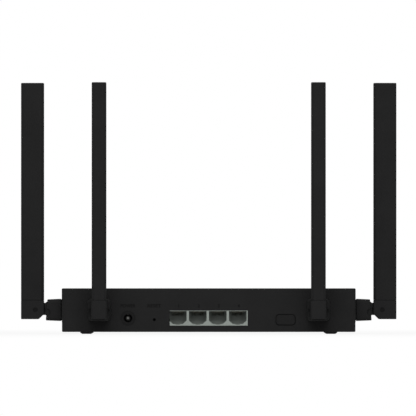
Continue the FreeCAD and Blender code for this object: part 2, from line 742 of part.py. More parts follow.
def power_jack():
    face_y = REAR_Y + JACK_FLANGE_RECESS
    body_y = INNER_REAR_Y + FIT_GAP
    body = box(JACK_X - JACK_WIDTH/2, JACK_X + JACK_WIDTH/2, body_y, body_y + JACK_LENGTH,
               BOARD_TOP, JACK_TOP)
    nose = rod(JACK_FLANGE_RADIUS, V(JACK_X, face_y, JACK_Z), V(JACK_X, body_y + 1, JACK_Z))
    bore = rod(JACK_BORE_RADIUS, V(JACK_X, face_y - 1, JACK_Z),
               V(JACK_X, face_y + JACK_BORE_DEPTH, JACK_Z))
    jack = joined([body, nose]).cut([bore, power_jack_pin()] + power_jack_leaf())
    rim = edges_where(jack, lambda edge: abs(edge.BoundBox.YMin - face_y) < 1e-4
                      and edge.BoundBox.YLength < 1e-4 and edge.BoundBox.XLength < 2.5*JACK_BORE_RADIUS)
    return jack.makeChamfer(0.3, rim)


def power_jack_pin():
    face_y = REAR_Y + JACK_FLANGE_RECESS
    tip = V(JACK_X, face_y + JACK_PIN_RECESS, JACK_Z)
    bore_end = V(JACK_X, face_y + JACK_BORE_DEPTH, JACK_Z)
    pin = rod(JACK_PIN_RADIUS, tip, bore_end)
    nose = [edge for edge in pin.Edges if abs(edge.BoundBox.YMax - tip.y) < 1e-4]
    pin = pin.makeFillet(JACK_PIN_NOSE, nose)
    return joined([pin, rod(JACK_PIN_ROOT_RADIUS, bore_end, bore_end + V(0, JACK_PIN_ROOT, 0))])


def power_jack_leaf():
    """Spring leaf along the top of the jack's bore, with its tail at the back of the bore."""
    face_y = REAR_Y + JACK_FLANGE_RECESS
    low = JACK_Z + JACK_BORE_RADIUS - JACK_LEAF_PROUD
    strip = box(JACK_X - JACK_LEAF_WIDTH/2, JACK_X + JACK_LEAF_WIDTH/2,
                face_y + JACK_PIN_RECESS + 0.5, face_y + JACK_BORE_DEPTH, low,
                low + JACK_LEAF_THICKNESS)
    return [strip]


def small_switch_body(x, z, body_y):
    body = box(x - SWITCH_WIDTH/2, x + SWITCH_WIDTH/2, body_y, body_y + SWITCH_DEPTH,
               BOARD_TOP, z + SWITCH_ABOVE_AXIS)
    bore = rod(PLUNGER_RADIUS + SWITCH_BORE_GAP, V(x, body_y - 1, z), V(x, body_y + SWITCH_BORE_DEPTH, z))
    return body.cut(bore)


def pairing_stem_end():
    return INNER_REAR_Y + BUTTON_FLANGE_GAP + BUTTON_FLANGE_THICKNESS + BUTTON_STEM_LENGTH


def pairing_button():
    face_y = REAR_Y - BUTTON_PROUD
    flange_y = INNER_REAR_Y + BUTTON_FLANGE_GAP
    cap = rear_block(BUTTON_X, BUTTON_Z, BUTTON_WIDTH, BUTTON_HEIGHT, BUTTON_RADIUS, face_y, flange_y)
    rim = edges_where(cap, lambda edge: edge.BoundBox.YLength < 1e-4
                      and abs(edge.BoundBox.YMin - face_y) < 1e-4)
    cap = cap.makeFillet(BUTTON_ROUND, rim)
    flange = rear_block(BUTTON_X, BUTTON_Z, BUTTON_WIDTH + 2*BUTTON_FLANGE_SIDE,
                        BUTTON_HEIGHT + 2*BUTTON_FLANGE_TOP, BUTTON_RADIUS,
                        flange_y, flange_y + BUTTON_FLANGE_THICKNESS)
    stem = rod(BUTTON_STEM_RADIUS, V(BUTTON_X, flange_y, BUTTON_Z),
               V(BUTTON_X, pairing_stem_end(), BUTTON_Z))
    return joined([cap, flange, stem])


def pairing_body_y():
    return pairing_stem_end() + TOUCH_GAP + BUTTON_TRAVEL + 0.8


def pairing_switch_plunger():
    start = pairing_stem_end() + TOUCH_GAP
    return rod(PLUNGER_RADIUS, V(BUTTON_X, start, BUTTON_Z),
               V(BUTTON_X, pairing_body_y() + PLUNGER_IN_BORE, BUTTON_Z))


def reset_switch_plunger():
    body_y = REAR_Y + RESET_BODY_FROM_FACE
    return rod(RESET_PLUNGER_RADIUS, V(RESET_X, REAR_Y + RESET_PLUNGER_FROM_FACE, RESET_Z),
               V(RESET_X, body_y + PLUNGER_IN_BORE, RESET_Z))


def status_leds():
    return [centred_box(x, LIGHT_Y, LED_WIDTH, LED_DEPTH, BOARD_TOP, BOARD_TOP + LED_HEIGHT)
            for x in light_centres()]


def light_guide():
    bottom = BOARD_TOP + LED_HEIGHT + LED_GAP
    posts = [centred_box(x, LIGHT_Y, LIGHT_WIDTH, LIGHT_DEPTH, bottom, TOP_Z) for x in light_centres()]
    bar_width = LIGHT_PITCH*(LIGHT_COUNT - 1) + LIGHT_WIDTH + 4
    bar = centred_box(0, LIGHT_Y, bar_width, LIGHT_DEPTH + 2.0, LEDGE_Z - LIGHT_BAR_HEIGHT, LEDGE_Z)
    return joined(posts + [bar])


PROCESSOR_X = 8.0
PROCESSOR_Y = 6.0
PROCESSOR_SIZE = 14.0
PROCESSOR_HEIGHT = 1.3
SINK_SIZE = 26.0
SINK_BASE = 2.0
SINK_FINS = 7
SINK_FIN_THICKNESS = 1.1
SINK_FIN_HEIGHT = 7.0


def processor():
    return centred_box(PROCESSOR_X, PROCESSOR_Y, PROCESSOR_SIZE, PROCESSOR_SIZE,
                       BOARD_TOP, BOARD_TOP + PROCESSOR_HEIGHT)


def heat_sink():
    bottom = BOARD_TOP + PROCESSOR_HEIGHT
    pieces = [centred_box(PROCESSOR_X, PROCESSOR_Y, SINK_SIZE, SINK_SIZE, bottom, bottom + SINK_BASE)]
    pitch = (SINK_SIZE - SINK_FIN_THICKNESS)/(SINK_FINS - 1)
    for offset in spread(SINK_FINS, pitch):
        pieces.append(centred_box(PROCESSOR_X + offset, PROCESSOR_Y, SINK_FIN_THICKNESS, SINK_SIZE,
                                  bottom, bottom + SINK_BASE + SINK_FIN_HEIGHT))
    return joined(pieces)


CAN_X = 52.0
CAN_Y = 4.0
CAN_WIDTH = 32.0
CAN_DEPTH = 26.0
CAN_HEIGHT = 3.2
CAN_WALL = 0.3


def shield_can(x):
    outer = centred_box(x, CAN_Y, CAN_WIDTH, CAN_DEPTH, BOARD_TOP, BOARD_TOP + CAN_HEIGHT)
    inner = centred_box(x, CAN_Y, CAN_WIDTH - 2*CAN_WALL, CAN_DEPTH - 2*CAN_WALL,
                        BOARD_TOP, BOARD_TOP + CAN_HEIGHT - CAN_WALL)
    return outer.cut(inner)


TRANSFORMER_WIDTH = 17.0
TRANSFORMER_DEPTH = 9.0
TRANSFORMER_HEIGHT = 5.8
CAPACITOR_RADIUS = 3.15
CAPACITOR_HEIGHT = 11.0
INDUCTOR_SIZE = 7.0
INDUCTOR_HEIGHT = 4.0
CHIP_WIDTH = 6.0
CHIP_DEPTH = 9.0
CHIP_HEIGHT = 1.1
BEHIND_PORTS = 7.0


def network_transformers():
    y = INNER_REAR_Y + PORT_BLOCK_DEPTH + BEHIND_PORTS
    return [centred_box(PORT_ROW_X + x, y, TRANSFORMER_WIDTH, TRANSFORMER_DEPTH, BOARD_TOP,
                        BOARD_TOP + TRANSFORMER_HEIGHT) for x in spread(2, 2*PORT_PITCH)]


def capacitors():
    y = INNER_REAR_Y + JACK_LENGTH + 3*CAPACITOR_RADIUS
    row = spread(3, 3*CAPACITOR_RADIUS)
    return [upright(CAPACITOR_RADIUS, JACK_X + x, y, BOARD_TOP, BOARD_TOP + CAPACITOR_HEIGHT) for x in row]


def inductors():
    y = INNER_REAR_Y + JACK_LENGTH + 6*CAPACITOR_RADIUS
    return [centred_box(JACK_X + x, y, INDUCTOR_SIZE, INDUCTOR_SIZE, BOARD_TOP,
                        BOARD_TOP + INDUCTOR_HEIGHT) for x in spread(2, 1.6*INDUCTOR_SIZE)]


def memory_chips():
    reach = SINK_SIZE/2 + CHIP_WIDTH
    return [centred_box(PROCESSOR_X + side*reach, PROCESSOR_Y, CHIP_WIDTH, CHIP_DEPTH, BOARD_TOP,
                        BOARD_TOP + CHIP_HEIGHT) for side in (-1, 1)]


# ---- antennas, each in its own U, V, Z frame ----
def stub_section(u, width, height, tilt):
    outline = rounded_outline(width, height, STUB_CORNER_RADIUS)
    facing_u = FreeCAD.Rotation(V(1, 1, 1), 120)
    lean = FreeCAD.Rotation(V(0, 1, 0), -tilt)
    outline.Placement = FreeCAD.Placement(V(u, 0, AXIS_Z), lean.multiply(facing_u))
    return outline


def stub():
    """Tapering barrel whose outer end leans back towards its top."""
    root = stub_section(STUB_WALL_GAP, STUB_ROOT_WIDTH, STUB_ROOT_HEIGHT, 0)
    end = stub_section(STUB_LENGTH, STUB_END_WIDTH, STUB_END_HEIGHT, STUB_END_TILT)
    barrel = Part.makeLoft([root, end], True, True)
    root_test = lies_on_plane(V(STUB_WALL_GAP, 0, 0), OUTWARD)
    barrel = barrel.makeFillet(STUB_ROUND, edges_where(barrel, root_test))
    lean = math.radians(STUB_END_TILT)
    end_test = lies_on_plane(V(STUB_LENGTH, 0, AXIS_Z), V(math.cos(lean), 0, math.sin(lean)))
    return barrel.makeFillet(STUB_END_ROUND, edges_where(barrel, end_test))


def stub_scoops():
    """Cutters for the shallow round scoop in each cheek of the barrel's outer end."""
    z = AXIS_Z - SCOOP_BELOW_AXIS
    floor = STUB_END_WIDTH/2 - SCOOP_DEPTH
    return [rod(SCOOP_RADIUS, V(STUB_LENGTH, side*floor, z), V(STUB_LENGTH, side*STUB_END_WIDTH, z))
            for side in (-1, 1)]


def neck(low, high):
    """Broad neck at the root of the tongue, hollowed so that the head's lower corners pass it."""
    half = NECK_WIDTH/2
    end = min(BLADE_INNER_U, PIN_FROM_WALL - HEAD_BOTTOM_DROP) - NECK_GAP
    outline = [
        V(STUB_LENGTH - 1, -half, low - NECK_FLARE),
        V(STUB_LENGTH, -half, low - NECK_FLARE),
        V(STUB_LENGTH + NECK_FLARE, -half, low),
        V(end, -half, low),
        V(end, -half, high),
        V(STUB_LENGTH + NECK_FLARE, -half, high),
        V(STUB_LENGTH, -half, high + NECK_FLARE),
        V(STUB_LENGTH - 1, -half, high + NECK_FLARE),
    ]
    upper_corner = math.hypot(BLADE_INNER_FROM_PIN, HEAD_BOTTOM_DROP - HEAD_CHAMFER)
    lower_corner = math.hypot(BLADE_INNER_FROM_PIN - HEAD_CHAMFER, HEAD_BOTTOM_DROP)
    sweep = max(upper_corner, lower_corner) + NECK_GAP
    room = rod(sweep, V(PIN_FROM_WALL, -NECK_WIDTH, AXIS_Z), V(PIN_FROM_WALL, NECK_WIDTH, AXIS_Z))
    return plate(outline, V(0, NECK_WIDTH, 0)).cut(room)


def swivel_base():
    shaft = rod(SHAFT_RADIUS, V(-SHAFT_INSIDE, 0, AXIS_Z), V(STUB_ROUND + 1, 0, AXIS_Z))
    half = TONGUE_THICKNESS/2
    low = AXIS_Z - TONGUE_BELOW
    high = AXIS_Z + TONGUE_ABOVE
    tongue = box(STUB_LENGTH - 1, PIN_FROM_WALL, -half, half, low, high)
    tongue_end = rod(TONGUE_END_RADIUS, V(PIN_FROM_WALL, -half, AXIS_Z), V(PIN_FROM_WALL, half, AXIS_Z))
    body = joined([stub(), shaft, neck(low, high), tongue, tongue_end])
    bore = rod(COAX_BORE_RADIUS, V(-SHAFT_INSIDE - 1, 0, AXIS_Z), V(COAX_BORE_END, 0, AXIS_Z))
    pin_hole = rod(HINGE_PIN_RADIUS + PIN_RUNNING_GAP, V(PIN_FROM_WALL, -HEAD_THICKNESS, AXIS_Z),
                   V(PIN_FROM_WALL, HEAD_THICKNESS, AXIS_Z))
    groove_start = -SIDE_WALL - STUB_WALL_GAP - CLIP_THICKNESS
    groove = rod(SHAFT_RADIUS + 1, V(groove_start, 0, AXIS_Z), V(groove_start + CLIP_THICKNESS, 0, AXIS_Z))
    groove = groove.cut(rod(CLIP_GROOVE_RADIUS, V(groove_start, 0, AXIS_Z),
                            V(groove_start + CLIP_THICKNESS, 0, AXIS_Z)))
    return body.cut([bore, pin_hole, groove] + stub_scoops())


def retaining_clip():
    start = V(-SIDE_WALL - STUB_WALL_GAP - CLIP_THICKNESS, 0, AXIS_Z)
    end = start + V(CLIP_THICKNESS, 0, 0)
    ring = rod(CLIP_OUTER_RADIUS, start, end).cut(rod(CLIP_GROOVE_RADIUS, start, end))
    mouth = box(start.x, end.x, -CLIP_MOUTH/2, CLIP_MOUTH/2, AXIS_Z - 2*CLIP_OUTER_RADIUS, AXIS_Z)
    return ring.cut(mouth)


def hinge_pin():
    half = HEAD_THICKNESS/2 - PIN_HOLE_DEPTH
    return rod(HINGE_PIN_RADIUS, V(PIN_FROM_WALL, -half, AXIS_Z), V(PIN_FROM_WALL, half, AXIS_Z))


def blade_section(z, shrink):
    """Eight-sided outline of the blade, a given distance inside its outer faces."""
    half_u = BLADE_WIDTH/2 - shrink
    half_v = BLADE_THICKNESS/2 - shrink
    bevel = max(BLADE_BEVEL - shrink*(2 - math.sqrt(2)), 0.2)
    corners = []
    for side, level in ((1, 1), (-1, 1), (-1, -1), (1, -1)):
        along = V(BLADE_MIDDLE_U + side*(half_u - bevel), level*half_v, z)
        across = V(BLADE_MIDDLE_U + side*half_u, level*(half_v - bevel), z)
        corners += [across, along] if side*level > 0 else [along, across]
    return corners


def head_block():
    """Solid head: round outer corners, a big chamfer low on the inner side, small edges below."""
    bottom = AXIS_Z - HEAD_BOTTOM_DROP
    inner = BLADE_INNER_U
    outer = BLADE_INNER_U + BLADE_WIDTH
    half = HEAD_THICKNESS/2
    block = box(inner, outer, -half, half, bottom, HEAD_TOP_Z)
    block = block.makeFillet(HEAD_OUTER_ROUND, edges_where(block, is_upright_at_x(outer)))
    corner = [
        V(inner, -half, bottom),
        V(inner, -half, bottom + HEAD_CHAMFER),
        V(inner + HEAD_CHAMFER, -half, bottom),
    ]
    block = block.cut(plate(corner, V(0, HEAD_THICKNESS, 0)))
    slope = lies_on_plane(V(inner, 0, bottom + HEAD_CHAMFER), V(1, 0, 1).normalize())
    lower_edges = edges_where(block, lambda edge: lies_at_z(bottom)(edge) or is_upright_at_x(inner)(edge)
                              or slope(edge))
    return block.makeChamfer(HEAD_EDGE, lower_edges)


def hinge_head():
    bottom = AXIS_Z - HEAD_BOTTOM_DROP
    half = HEAD_THICKNESS/2
    spigot = plate(blade_section(HEAD_TOP_Z - 1, BLADE_WALL + SPIGOT_GAP), V(0, 0, SPIGOT_HEIGHT + 1))
    slot_half = TONGUE_THICKNESS/2 + HEAD_SLOT_GAP
    slot_cut = box(BLADE_INNER_U - 1, PIN_FROM_WALL + TONGUE_END_RADIUS + HEAD_SLOT_TIP_GAP,
                   -slot_half, slot_half, bottom - 1, AXIS_Z + TONGUE_ABOVE + HEAD_SLOT_TIP_GAP)
    cutters = [slot_cut, antenna_element(), hinge_pin()]
    for side in (-1, 1):
        cutters.append(rod(PIN_HOLE_RADIUS, V(PIN_FROM_WALL, side*(half - PIN_HOLE_DEPTH), AXIS_Z),
                           V(PIN_FROM_WALL, side*(half + 1), AXIS_Z)))
    return joined([head_block(), spigot]).cut(cutters)


def antenna_element():
    return centred_box(BLADE_MIDDLE_U, 0, ELEMENT_WIDTH, ELEMENT_THICKNESS,
                       HEAD_TOP_Z + SPIGOT_HEIGHT - ELEMENT_SEAT, BLADE_TOP_Z - ELEMENT_TOP_CLEARANCE)


def radome():
    outer = plate(blade_section(HEAD_TOP_Z, 0), V(0, 0, BLADE_TOP_Z - HEAD_TOP_Z))
    outer = outer.makeFillet(BLADE_TIP_ROUND, edges_where(outer, lies_at_z(BLADE_TOP_Z)))
    outer = outer.makeChamfer(BLADE_SEAM, edges_where(outer, lies_at_z(HEAD_TOP_Z)))
    hollow = plate(blade_section(HEAD_TOP_Z - 1, BLADE_WALL),
                   V(0, 0, BLADE_TOP_Z - HEAD_TOP_Z + 1 - BLADE_WALL))
    return outer.cut(hollow)


def coax_end_u():
    return -COAX_STRAIGHT - COAX_BEND


def coax_lead():
    """Straight out of the swivel shaft, then one bend down to its plug on the board."""
    start = V(COAX_IN_STUB, 0, AXIS_Z)
    bend_start = V(-COAX_STRAIGHT, 0, AXIS_Z)
    bend_end = V(coax_end_u(), 0, AXIS_Z - COAX_BEND)
    bottom = V(coax_end_u(), 0, BOARD_TOP + PLUG_HEIGHT)
    centre = V(-COAX_STRAIGHT, 0, AXIS_Z - COAX_BEND)
    middle = centre + V(-COAX_BEND*math.sqrt(0.5), 0, COAX_BEND*math.sqrt(0.5))
    path = Part.Wire([
        Part.LineSegment(start, bend_start).toShape(),
        Part.Arc(bend_start, middle, bend_end).toShape(),
        Part.LineSegment(bend_end, bottom).toShape(),
    ])
    section = Part.Wire([Part.makeCircle(COAX_RADIUS, start, OUTWARD)])
    return path.makePipeShell([section], True, False)


def coax_plug():
    return upright(PLUG_RADIUS, coax_end_u(), 0, BOARD_TOP, BOARD_TOP + PLUG_HEIGHT)


# ---- assembly ----
def build():
    keep("upper_housing", upper_housing())
    keep("top_panel", top_panel())
    keep("base_cover", base_cover())
    keep("rating_label", rating_label())
    keep("rubber_feet", *[rubber_foot(x, y) for x, y in foot_places()])
    keep("housing_screws", *[housing_screw(x, y) for x, y in screw_places()])
    keep("circuit_board", circuit_board())
    keep("board_screws", *[board_screw(x, y) for x, y in board_screw_places()])
    keep("ethernet_port_block", ethernet_port_block())
    contacts = []
    for x in port_centres():
        contacts += port_contacts(x)
    keep("ethernet_contacts", *contacts)
    keep("power_jack", power_jack())
    keep("power_jack_pin", power_jack_pin())
    keep("power_jack_contact", *power_jack_leaf())
    keep("reset_switch_body", small_switch_body(RESET_X, RESET_Z, REAR_Y + RESET_BODY_FROM_FACE))
    keep("reset_switch_plunger", reset_switch_plunger())
    keep("pairing_button", pairing_button())
    keep("pairing_switch_body", small_switch_body(BUTTON_X, BUTTON_Z, pairing_body_y()))
    keep("pairing_switch_plunger", pairing_switch_plunger())
    keep("status_leds", *status_leds())
    keep("light_guide", light_guide())
    keep("processor", processor())
    keep("heat_sink", heat_sink())
    keep("shield_cans", shield_can(-CAN_X), shield_can(CAN_X))
    keep("network_transformers", *network_transformers())
    keep("capacitors", *capacitors())
    keep("inductors", *inductors())
    keep("memory_chips", *memory_chips())
    antenna_pieces = {
        "swivel_base": swivel_base(),
        "retaining_clip": retaining_clip(),
        "hinge_pin": hinge_pin(),
        "hinge_head": hinge_head(),
        "radome": radome(),
        "antenna_element": antenna_element(),
        "coax_lead": coax_lead(),
    }
    plugs = []
    for name, point, turn in antenna_places():
        for piece, shape in antenna_pieces.items():
            keep(name + "_" + piece, placed(shape, point, turn))
        plugs.append(placed(coax_plug(), point, turn))
    keep("coax_plugs", *plugs)


build()
os.makedirs("parts", exist_ok=True)
for name, shape in parts.items():
    shape.exportStep("parts/" + name + ".step")
print(len(parts), "nodes written")
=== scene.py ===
"""Wireless router: the finish of every piece, the words at its sockets, and a plain studio.

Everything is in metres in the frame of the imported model: X to the right when the connector face is
looked at, Y from the connector face to the front, Z up, standing on z = 0.
"""

import json
import math

import bmesh
import bpy
from mathutils import Matrix, Vector


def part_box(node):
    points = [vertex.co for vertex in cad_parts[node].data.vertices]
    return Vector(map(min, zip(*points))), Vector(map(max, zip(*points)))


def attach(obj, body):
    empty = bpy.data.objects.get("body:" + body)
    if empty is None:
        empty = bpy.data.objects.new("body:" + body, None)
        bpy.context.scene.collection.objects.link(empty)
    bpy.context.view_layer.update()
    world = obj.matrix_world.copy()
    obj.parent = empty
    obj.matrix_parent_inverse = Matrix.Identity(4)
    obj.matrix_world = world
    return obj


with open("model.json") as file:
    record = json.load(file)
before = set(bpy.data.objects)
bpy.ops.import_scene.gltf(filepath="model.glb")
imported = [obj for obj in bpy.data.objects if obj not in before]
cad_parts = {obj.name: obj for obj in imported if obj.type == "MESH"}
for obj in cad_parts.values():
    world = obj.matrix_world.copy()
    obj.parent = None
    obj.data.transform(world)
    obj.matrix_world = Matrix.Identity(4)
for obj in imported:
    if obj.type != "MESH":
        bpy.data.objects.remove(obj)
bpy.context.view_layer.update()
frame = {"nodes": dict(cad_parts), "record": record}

MM = 0.001

# ---- words at the sockets and controls ----
WORD_HEIGHT = 2.3*MM
WORD_Z = 19.7*MM
WORD_THICKNESS = 0.04*MM
WORD_SUNK = 0.02*MM
WORD_POWER_WIDTH = 10.3*MM
WORD_RESET_WIDTH = 9.5*MM
# in the font's own units, before the letters are scaled
LETTER_BOLDER = 0.02
LETTER_EXTRUSION = 0.5
SOCKET_COUNT = 4
SOCKET_PITCH = 13.97*MM

# ---- camera: lens and sensor in millimetres, the rest in metres ----
CAMERA_LENS = 1600.0
CAMERA_SENSOR = 36.0
VIEW_WIDTH = 290.6*MM
VIEW_CENTRE_X = -0.5*MM
VIEW_CENTRE_Z = 88.0*MM
CAMERA_HEIGHT = 32.0*MM
CAMERA_REACH = 60.0

# ---- studio: places and sizes in metres, power in watts ----
FLOOR_HALF_SIZE = 20.0
FLOOR_CELLS = 8
SHADOW_NEAR = 0.35
SHADOW_FAR = 1.4
SHADOW_SHARE = 0.13
PAPER_SEEN = 0.65
PAPER_BOUNCE = 0.9
WORLD_AMBIENT = 0.48
WORLD_SEEN = 1.0
LIGHT_TARGET_Z = 50*MM
FRONT_LIGHT_PLACE = (0.0, -2.0, 1.2)
FRONT_LIGHT_SIZE = (1.8, 1.4)
FRONT_LIGHT_POWER = 31.0
TOP_LIGHT_PLACE = (0.0, -0.5, 2.2)
TOP_LIGHT_SIZE = (2.0, 1.2)
TOP_LIGHT_POWER = 13.0

# ---- finishes: noise scales are per metre ----
TONE_DRIFT_SCALE = 38.0
GLOSS_PATCH_SCALE = 160.0
GLOSS_SPREAD = 0.05
PEBBLE_STRENGTH = 0.6
# radii of the pin's painted highlight and of the painted shade outside it
PIN_HIGHLIGHT_RADIUS = 0.1*MM
PIN_SHADE_RADIUS = 0.36*MM
TRACK_SCALE = 160.0
TRACK_WIDTH = 0.035
TRACK_SOFTNESS = 0.2
ACRYLIC_IOR = 1.49


# ---- node helpers ----
def new_material(name):
    """A node material, its tree, its shader and the coordinates of the piece itself."""
    material = bpy.data.materials.new(name)
    material.use_nodes = True
    tree = material.node_tree
    shader = tree.nodes["Principled BSDF"]
    place = tree.nodes.new("ShaderNodeTexCoord").outputs["Object"]
    return material, tree, shader, place


def stretched(tree, place, stretch):
    """The coordinates scaled along each axis."""
    mapping = tree.nodes.new("ShaderNodeMapping")
    mapping.inputs["Scale"].default_value = stretch
    tree.links.new(place, mapping.inputs["Vector"])
    return mapping.outputs["Vector"]


def noise(tree, place, scale, detail=3.0, rough=0.55):
    """Soft noise of the given scale per metre, around 0.5."""
    node = tree.nodes.new("ShaderNodeTexNoise")
    node.inputs["Scale"].default_value = scale
    node.inputs["Detail"].default_value = detail
    node.inputs["Roughness"].default_value = rough
    tree.links.new(place, node.inputs["Vector"])
    return node.outputs["Fac"]


def pebbles(tree, place, scale):
    """Height of a pebbled grain with the given number of cells per metre."""
    node = tree.nodes.new("ShaderNodeTexVoronoi")
    node.feature = "SMOOTH_F1"
    node.inputs["Scale"].default_value = scale
    tree.links.new(place, node.inputs["Vector"])
    return node.outputs["Distance"]


def spread_value(tree, value, low, high, start=0.3, end=0.7):
    """Maps a value between start and end to one between low and high."""
    node = tree.nodes.new("ShaderNodeMapRange")
    node.inputs["From Min"].default_value = start
    node.inputs["From Max"].default_value = end
    node.inputs["To Min"].default_value = low
    node.inputs["To Max"].default_value = high
    tree.links.new(value, node.inputs["Value"])
    return node.outputs["Result"]


def two_tones(tree, value, dark, light, start=0.3, end=0.7):
    """Blends from one colour at start to the other at end."""
    node = tree.nodes.new("ShaderNodeValToRGB")
    node.color_ramp.elements[0].position = start
    node.color_ramp.elements[0].color = (*dark, 1.0)
    node.color_ramp.elements[1].position = end
    node.color_ramp.elements[1].color = (*light, 1.0)
    tree.links.new(value, node.inputs["Fac"])
    return node.outputs["Color"]


def add_bump(tree, shader, height, strength, distance):
    """Lets a height field tilt the surface; distance is the height of its relief."""
    node = tree.nodes.new("ShaderNodeBump")
    node.inputs["Strength"].default_value = strength
    node.inputs["Distance"].default_value = distance
    tree.links.new(height, node.inputs["Height"])
    tree.links.new(node.outputs["Normal"], shader.inputs["Normal"])


def shade(colour, factor):
    """The colour made lighter or darker by a factor."""
    return tuple(channel*factor for channel in colour)


# ---- one function for each kind of finish ----
def moulded_plastic(name, colour, roughness, specular, grain=0.45*MM, grain_height=0.012*MM,
                    mottling=0.08):
    """Spark-textured moulded plastic: fine pebbled grain, slow drift in tone and gloss."""
    material, tree, shader, place = new_material(name)
    drift = noise(tree, place, TONE_DRIFT_SCALE, detail=4.0)
    tones = two_tones(tree, drift, shade(colour, 1 - mottling), shade(colour, 1 + mottling))
    tree.links.new(tones, shader.inputs["Base Color"])
    patches = noise(tree, place, GLOSS_PATCH_SCALE, detail=5.0)
    gloss = spread_value(tree, patches, roughness - GLOSS_SPREAD, roughness + GLOSS_SPREAD)
    tree.links.new(gloss, shader.inputs["Roughness"])
    shader.inputs["Specular IOR Level"].default_value = specular
    add_bump(tree, shader, pebbles(tree, place, 1/grain), PEBBLE_STRENGTH, grain_height)
    return material


def painted_highlight_pin(name, shade_colour, highlight_colour, node):
    """Plated pin along Y: painted highlight bright around its axis, painted shade dark outside it."""
    material, tree, shader, place = new_material(name)
    low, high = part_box(node)
    middle = (low + high)/2
    offset = tree.nodes.new("ShaderNodeVectorMath")
    offset.operation = "SUBTRACT"
    offset.inputs[1].default_value = (middle.x, 0.0, middle.z)
    tree.links.new(stretched(tree, place, (1.0, 0.0, 1.0)), offset.inputs[0])
    reach = tree.nodes.new("ShaderNodeVectorMath")
    reach.operation = "LENGTH"
    tree.links.new(offset.outputs["Vector"], reach.inputs[0])
    # painted highlight near the axis, fading to painted shade on the flank
    highlight_and_shade = two_tones(tree, reach.outputs["Value"], highlight_colour, shade_colour, PIN_HIGHLIGHT_RADIUS, PIN_SHADE_RADIUS)
    tree.links.new(highlight_and_shade, shader.inputs["Base Color"])
    marks = noise(tree, place, 1500.0, detail=5.0)
    tree.links.new(spread_value(tree, marks, 0.3, 0.45), shader.inputs["Roughness"])
    shader.inputs["Metallic"].default_value = 1.0
    return material


def rubber(name, colour):
    """Matt rubber with a fine speckle."""
    material, tree, shader, place = new_material(name)
    speckle = noise(tree, place, 900.0, detail=6.0)
    tones = two_tones(tree, speckle, shade(colour, 0.8), shade(colour, 1.3))
    tree.links.new(tones, shader.inputs["Base Color"])
    tree.links.new(spread_value(tree, speckle, 0.72, 0.9), shader.inputs["Roughness"])
    shader.inputs["Specular IOR Level"].default_value = 0.3
    add_bump(tree, shader, speckle, 0.5, 0.02*MM)
    return material


def plated_metal(name, colour, roughness, stretch=(1.0, 1.0, 1.0), scratch=900.0):
    """Metal with fine drawn or tumbled marks along one direction."""
    material, tree, shader, place = new_material(name)
    marks = noise(tree, stretched(tree, place, stretch), scratch, detail=6.0, rough=0.7)
    tree.links.new(two_tones(tree, marks, shade(colour, 0.82), colour), shader.inputs["Base Color"])
    gloss = spread_value(tree, marks, roughness - 0.08, roughness + 0.1)
    tree.links.new(gloss, shader.inputs["Roughness"])
    shader.inputs["Metallic"].default_value = 1.0
    add_bump(tree, shader, marks, 0.25, 0.01*MM)
    return material


def solder_mask(name, colour, copper):
    """Green board: a faint grid of covered tracks and a slightly wavy lacquer."""
    material, tree, shader, place = new_material(name)
    brick = tree.nodes.new("ShaderNodeTexBrick")
    brick.inputs["Scale"].default_value = TRACK_SCALE
    brick.inputs["Mortar Size"].default_value = TRACK_WIDTH
    brick.inputs["Mortar Smooth"].default_value = TRACK_SOFTNESS
    brick.inputs["Color1"].default_value = (*colour, 1.0)
    brick.inputs["Color2"].default_value = (*shade(colour, 0.86), 1.0)
    brick.inputs["Mortar"].default_value = (*copper, 1.0)
    tree.links.new(place, brick.inputs["Vector"])
    tree.links.new(brick.outputs["Color"], shader.inputs["Base Color"])
    ripple = noise(tree, place, 240.0, detail=4.0)
    tree.links.new(spread_value(tree, ripple, 0.28, 0.42), shader.inputs["Roughness"])
    add_bump(tree, shader, brick.outputs["Fac"], 0.4, 0.02*MM)
    return material


def clear_plastic(name, colour, roughness, transmission):
    """Slightly hazy plastic that lets light through."""
    material, tree, shader, place = new_material(name)
    haze = noise(tree, place, 500.0, detail=4.0)
    tree.links.new(two_tones(tree, haze, shade(colour, 0.93), colour), shader.inputs["Base Color"])
    gloss = spread_value(tree, haze, roughness - 0.06, roughness + 0.06)
    tree.links.new(gloss, shader.inputs["Roughness"])
    shader.inputs["Transmission Weight"].default_value = transmission
    shader.inputs["IOR"].default_value = ACRYLIC_IOR
    return material


def paper_label(name, colour):
    """Blank paper with a fine fibre along one direction."""
    material, tree, shader, place = new_material(name)
    fibre = noise(tree, stretched(tree, place, (1.0, 3.0, 1.0)), 1400.0, detail=5.0)
    tree.links.new(two_tones(tree, fibre, shade(colour, 0.94), colour), shader.inputs["Base Color"])
    tree.links.new(spread_value(tree, fibre, 0.5, 0.62), shader.inputs["Roughness"])
    add_bump(tree, shader, fibre, 0.2, 0.01*MM)
    return material


